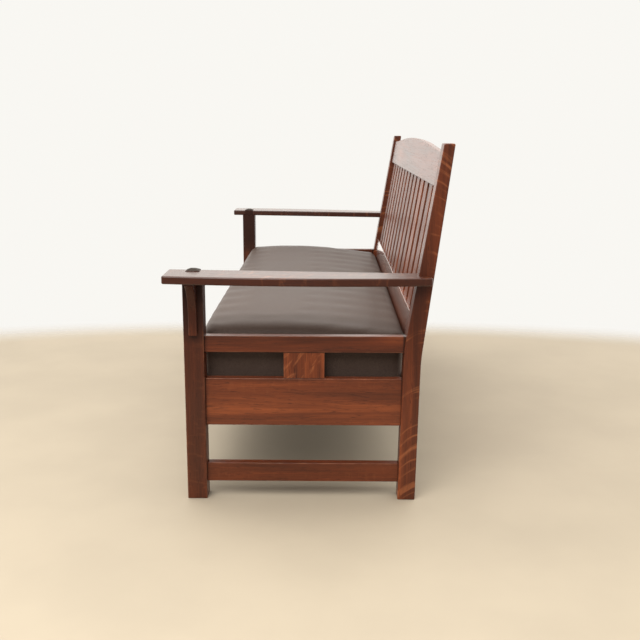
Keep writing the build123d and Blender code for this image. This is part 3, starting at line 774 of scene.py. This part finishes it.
def leather_seat():
    """The seat's cover: its CAD form drawn in a little, swelled as cloth, shaped, and turned under.

    The form is drawn in by DRAW_IN at its crown and by nothing at its foot.
    """
    low, high = (np.array(corner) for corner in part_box("seat_leather"))
    seat = hull_of("leather_seat", nodes["seat_leather"])
    middle, half = (low + high) / 2, (high - low) / 2
    points = coordinates(seat)
    lift = np.clip((points[:, 2:] - low[2]) / (high[2] - low[2]), 0, 1)
    set_coordinates(seat, points - (points - middle) / half * DRAW_IN * lift)
    remesh = seat.modifiers.new("even mesh", "REMESH")
    remesh.mode = "VOXEL"
    remesh.voxel_size = SEAT_GRID
    apply_modifier(seat, remesh)
    set_coordinates(seat, evened(seat, coordinates(seat), MESH_ROUNDS))
    firm = np.nonzero(coordinates(seat)[:, 2] < low[2] + FIRM_EDGE)[0]
    seat.vertex_groups.new(name="firm").add(firm.tolist(), 1.0, "REPLACE")
    blow_up(seat, SWELL_CAP)
    shape_cover(seat, low, high)
    block = hull_of("seat_block", nodes["seat_leather"])
    over_frame = seat.modifiers.new("over the frame", "SHRINKWRAP")
    over_frame.target = block
    over_frame.vertex_group = "firm"
    apply_modifier(seat, over_frame)
    bpy.data.objects.remove(block)
    turn_under(seat, low, high)
    for face in seat.data.polygons:
        face.use_smooth = True
    finer = seat.modifiers.new("finer", "SUBSURF")
    finer.levels = 1
    finer.render_levels = 1
    seat.data.materials.append(leather())
    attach(seat, "seat")
    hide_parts("seat_leather", "seat_foam")


def turn_under(seat, low, high):
    """Cuts the cover off just above its foot and carries it down, round the frame's edge and under it.

    Each ring is the one before, drawn in towards the middle and set at its own height.
    """
    middle, half = (low + high) / 2, (high - low) / 2
    form = bmesh.new()
    form.from_mesh(seat.data)
    everything = [*form.verts, *form.edges, *form.faces]
    foot = (0, 0, low[2] + TURN_RINGS[0][0])
    cut = bmesh.ops.bisect_plane(form, geom=everything, plane_co=foot, plane_no=ALONG_Z, clear_inner=True)
    rim = [edge for edge in cut["geom_cut"] if isinstance(edge, bmesh.types.BMEdge)]
    for height, inset in TURN_RINGS[1:]:
        ring = bmesh.ops.extrude_edge_only(form, edges=rim)["geom"]
        corners = {part for part in ring if isinstance(part, bmesh.types.BMVert)}
        edges = [part for part in ring if isinstance(part, bmesh.types.BMEdge)]
        rim = [edge for edge in edges if corners.issuperset(edge.verts)]
        for point in corners:
            point.co.x -= (point.co.x - middle[0]) / half[0] * inset
            point.co.y -= (point.co.y - middle[1]) / half[1] * inset
            point.co.z = low[2] + height
    bmesh.ops.triangle_fill(form, edges=rim, use_beauty=True)
    bmesh.ops.recalc_face_normals(form, faces=form.faces)
    form.to_mesh(seat.data)
    form.free()


def shape_cover(seat, low, high):
    """Full rolls at front and rear, faint ridges over the rows of springs, and a plump rear edge.

    The ridges are a cosine along the settle, strongest on the top. The rear edge is a bell curve of
    the height. Only above the seat rail may the cover stand proud of its CAD block at the back.
    """
    points = coordinates(seat)
    facing = normals(seat)
    height = points[:, 2] - low[2]
    rolled = smooth_step(height, ROLL_START, ROLL_FULL) * np.clip(FACING_GAIN * np.abs(facing[:, 1]), 0, 1)
    points += facing * (ROLL_FILL * rolled)[:, None]
    top = smooth_step(points[:, 2], high[2] - RIDGE_START, high[2] - RIDGE_FULL)
    wander = ROW_WANDER * np.sin(WANDER_RATE * points[:, 1])
    rows = np.cos(2 * np.pi * points[:, 0] / SPRING_PITCH + wander)
    ranks = np.cos(2 * np.pi * (points[:, 1] - (low[1] + high[1]) / 2) / SPRING_PITCH)
    points[:, 2] += top * RIPPLE * rows * (1 - RANK_SHARE + RANK_SHARE * ranks)
    plump = np.exp(-(((points[:, 2] - BULGE_HEIGHT) / BULGE_SPREAD) ** 2))
    points[:, 1] += REAR_BULGE * plump * np.clip(FACING_GAIN * facing[:, 1], 0, 1)
    rail_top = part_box("back_seat_rail")[1][2]
    proud = REAR_BULGE * smooth_step(points[:, 2], rail_top + PROUD_START, rail_top + PROUD_FULL)
    points[:, 0] = np.clip(points[:, 0], low[0], high[0])
    points[:, 1] = np.clip(points[:, 1], low[1] - proud, high[1] + proud)
    points[:, 2] = np.clip(points[:, 2], low[2], high[2] + RIPPLE)
    set_coordinates(seat, points)


# The cloth under the seat: its mesh, its thickness, its sag between members, and its thread
COVER_GRID = 0.012
COVER_CLOTH = 0.0006
COVER_SAG = 0.005
COVER_DARK, COVER_LIGHT = (0.008, 0.008, 0.008), (0.025, 0.024, 0.024)
COVER_PITCH = 0.0016


def dust_cover():
    """The cloth tacked under the seat's frame, flat on its members and sagging a little in between.

    Between two members the sag is COVER_SAG times the squared sines of both places across the bay.
    """
    low, high = (np.array(corner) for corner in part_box("seat_dust_cover"))
    x = np.linspace(low[0], high[0], round((high[0] - low[0]) / COVER_GRID) + 1)
    y = np.linspace(low[1], high[1], round((high[1] - low[1]) / COVER_GRID) + 1)
    front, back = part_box("seat_frame_front")[1][1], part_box("seat_frame_back")[0][1]
    across = np.sin(np.pi * np.clip((y - front) / (back - front), 0, 1)) ** 2
    members = [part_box(name) for name in ("seat_frame_end_left", "seat_frame_brace_left", "seat_bearer")]
    members += [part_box(name) for name in ("seat_frame_brace_right", "seat_frame_end_right")]
    along = np.zeros_like(x)
    for near, far in zip(members, members[1:]):
        along += np.sin(np.pi * np.clip((x - near[1][0]) / (far[0][0] - near[1][0]), 0, 1)) ** 2
    grid_x, grid_y = np.meshgrid(x, y)
    grid_z = high[2] - COVER_SAG * np.outer(across, along)
    rows, columns = grid_x.shape
    start = (np.arange(rows - 1)[:, None] * columns + np.arange(columns - 1)).ravel()
    faces = np.column_stack((start, start + columns, start + columns + 1, start + 1))
    points = np.column_stack((grid_x.ravel(), grid_y.ravel(), grid_z.ravel()))
    cover = mesh_object("dust_cover", points.tolist(), faces.tolist())
    for face in cover.data.polygons:
        face.use_smooth = True
    cloth = cover.modifiers.new("cloth", "SOLIDIFY")
    cloth.thickness = COVER_CLOTH
    cloth.offset = 1.0
    cover.data.materials.append(woven("dust_cover", COVER_DARK, COVER_LIGHT, COVER_PITCH))
    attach(cover, "seat")
    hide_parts("seat_dust_cover")


JUTE_DARK, JUTE_LIGHT = (0.20, 0.13, 0.06), (0.42, 0.30, 0.16)
JUTE_PITCH = 0.004


def dress_webbing():
    """The jute straps inside the seat, of one weave."""
    jute = woven("webbing", JUTE_DARK, JUTE_LIGHT, JUTE_PITCH)
    dress(nodes["seat_webbing_cross"], jute)
    dress(nodes["seat_webbing_long"], jute)


aim_camera()
light_studio()
pale_floor()
dress_wood()
dress_webbing()
dust_cover()
leather_seat()
